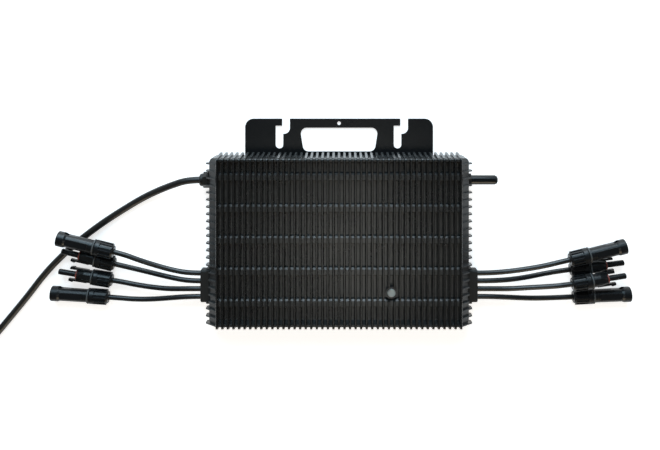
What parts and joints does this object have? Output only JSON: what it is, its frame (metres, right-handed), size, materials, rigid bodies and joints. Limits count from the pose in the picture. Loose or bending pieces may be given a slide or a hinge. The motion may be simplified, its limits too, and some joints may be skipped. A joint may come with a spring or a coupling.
{
  "type": "micro inverter",
  "caption": "Flat black solar inverter with a finned heat-sink front, hanging bracket, stub aerial, solar leads with latching connectors on both sides and one mains cable.",
  "frame": {"origin": "centre of the flat back face, which the unit lies on", "axes": "+X to the right along the housing, +Y towards the hanging bracket, +Z out of the front fins"},
  "size_m": [0.8614, 0.2994, 0.042],
  "materials": {
    "cast_heatsink": "black powder coat or anodise, satin",
    "cover_metal": "black powder coat, satin",
    "bracket_steel": "black powder-coated sheet steel, satin",
    "screw_steel": "plain",
    "gasket_rubber": "matte",
    "entry_rubber": "matte",
    "lead_jacket": "satin",
    "mains_jacket": "satin",
    "connector_plastic": "satin",
    "fitting_plastic": "satin",
    "antenna_sheath": "satin",
    "light_pipe": "milky, translucent",
    "led_body": "gloss",
    "contact_metal": "tin plated",
    "o_ring_rubber": "matte",
    "wire_insulation": "satin",
    "board_laminate": "solder mask",
    "ferrite": "matte",
    "copper_wire": "enamelled",
    "capacitor_can": "sleeved",
    "film_capacitor_case": "gloss",
    "varistor_coat": "satin",
    "chip_plastic": "matte",
    "thermal_pad": "matte",
    "relay_case": "gloss",
    "shield_can": "plain"
  },
  "bodies": {
    "root": {"ac_cable": "mains_jacket", "ac_cable_coil": "mains_jacket", "ac_gland_body": "fitting_plastic", "ac_plug_body": "connector_plastic", "ac_plug_contacts": "contact_metal", "antenna_base": "fitting_plastic", "antenna_stub": "antenna_sheath", "board_screws": "screw_steel", "bracket_screws": "screw_steel", "bulk_capacitors": "capacitor_can", "cable_seals": "gasket_rubber", "connector_shell_l1": "connector_plastic", "connector_shell_l2": "connector_plastic", "connector_shell_l3": "connector_plastic", "connector_shell_l4": "connector_plastic", "connector_shell_r1": "connector_plastic", "connector_shell_r2": "connector_plastic", "connector_shell_r3": "connector_plastic", "connector_shell_r4": "connector_plastic", "control_chips": "chip_plastic", "copper_windings": "copper_wire", "cover_screws": "screw_steel", "dc_contacts": "contact_metal", "dc_entry_left": "entry_rubber", "dc_entry_right": "entry_rubber", "dc_lead_l1": "lead_jacket", "dc_lead_l2": "lead_jacket", "dc_lead_l3": "lead_jacket", "dc_lead_l4": "lead_jacket", "dc_lead_r1": "lead_jacket", "dc_lead_r2": "lead_jacket", "dc_lead_r3": "lead_jacket", "dc_lead_r4": "lead_jacket", "dc_o_rings": "o_ring_rubber", "film_capacitors": "film_capacitor_case", "filter_chokes": "ferrite", "hanging_bracket": "bracket_steel", "heatsink_housing": "cast_heatsink", "housing_gasket": "gasket_rubber", "inner_wires": "wire_insulation", "light_pipe": "light_pipe", "main_circuit_board": "board_laminate", "output_relays": "relay_case", "power_transistors": "chip_plastic", "rear_cover": "cover_metal", "status_led": "led_body", "surge_protectors": "varistor_coat", "thermal_pads": "thermal_pad", "transformer_cores": "ferrite", "wireless_module": "shield_can"},
    "connector_nut_r1": {"connector_nut_r1": "connector_plastic"},
    "connector_nut_r2": {"connector_nut_r2": "connector_plastic"},
    "connector_nut_r3": {"connector_nut_r3": "connector_plastic"},
    "connector_nut_r4": {"connector_nut_r4": "connector_plastic"},
    "connector_nut_l1": {"connector_nut_l1": "connector_plastic"},
    "connector_nut_l2": {"connector_nut_l2": "connector_plastic"},
    "connector_nut_l3": {"connector_nut_l3": "connector_plastic"},
    "connector_nut_l4": {"connector_nut_l4": "connector_plastic"},
    "ac_gland_nut": {"ac_gland_nut": "fitting_plastic"},
    "ac_plug_ring": {"ac_plug_ring": "connector_plastic"}
  },
  "joints": [
    {"name": "nut_r1_turn", "type": "hinge", "parent": "root", "child": "connector_nut_r1", "pos_m": [0.2666, -0.0224, 0.0224], "axis": [-0.9734, -0.2266, 0.0328], "range_deg": [0, 180]},
    {"name": "nut_r2_turn", "type": "hinge", "parent": "root", "child": "connector_nut_r2", "pos_m": [0.2706, -0.0369, 0.0095], "axis": [-0.9919, -0.1268, 0], "range_deg": [0, 180]},
    {"name": "nut_r3_turn", "type": "hinge", "parent": "root", "child": "connector_nut_r3", "pos_m": [0.2686, -0.05, 0.0242], "axis": [-0.9889, -0.1457, 0.0279], "range_deg": [0, 180]},
    {"name": "nut_r4_turn", "type": "hinge", "parent": "root", "child": "connector_nut_r4", "pos_m": [0.2741, -0.0689, 0.0095], "axis": [-0.999, -0.0441, 0.0088], "range_deg": [0, 180]},
    {"name": "nut_l1_turn", "type": "hinge", "parent": "root", "child": "connector_nut_l1", "pos_m": [-0.2606, -0.0132, 0.0218], "axis": [0.9735, -0.228, 0.015], "range_deg": [0, 180]},
    {"name": "nut_l2_turn", "type": "hinge", "parent": "root", "child": "connector_nut_l2", "pos_m": [-0.2626, -0.0304, 0.0095], "axis": [0.9669, -0.2496, -0.0521], "range_deg": [0, 180]},
    {"name": "nut_l3_turn", "type": "hinge", "parent": "root", "child": "connector_nut_l3", "pos_m": [-0.2656, -0.0494, 0.0095], "axis": [0.9867, -0.1623, 0], "range_deg": [0, 180]},
    {"name": "nut_l4_turn", "type": "hinge", "parent": "root", "child": "connector_nut_l4", "pos_m": [-0.2699, -0.0692, 0.0095], "axis": [0.9979, -0.0641, 0.0089], "range_deg": [0, 180]},
    {"name": "gland_nut_turn", "type": "hinge", "parent": "root", "child": "ac_gland_nut", "pos_m": [-0.162, 0.069, 0.015], "axis": [-1, 0, 0], "range_deg": [0, 180]},
    {"name": "coupling_ring_turn", "type": "hinge", "parent": "root", "child": "ac_plug_ring", "pos_m": [-0.509, -0.03, 0.0116], "axis": [0, 1, 0], "continuous": true}
  ]
}
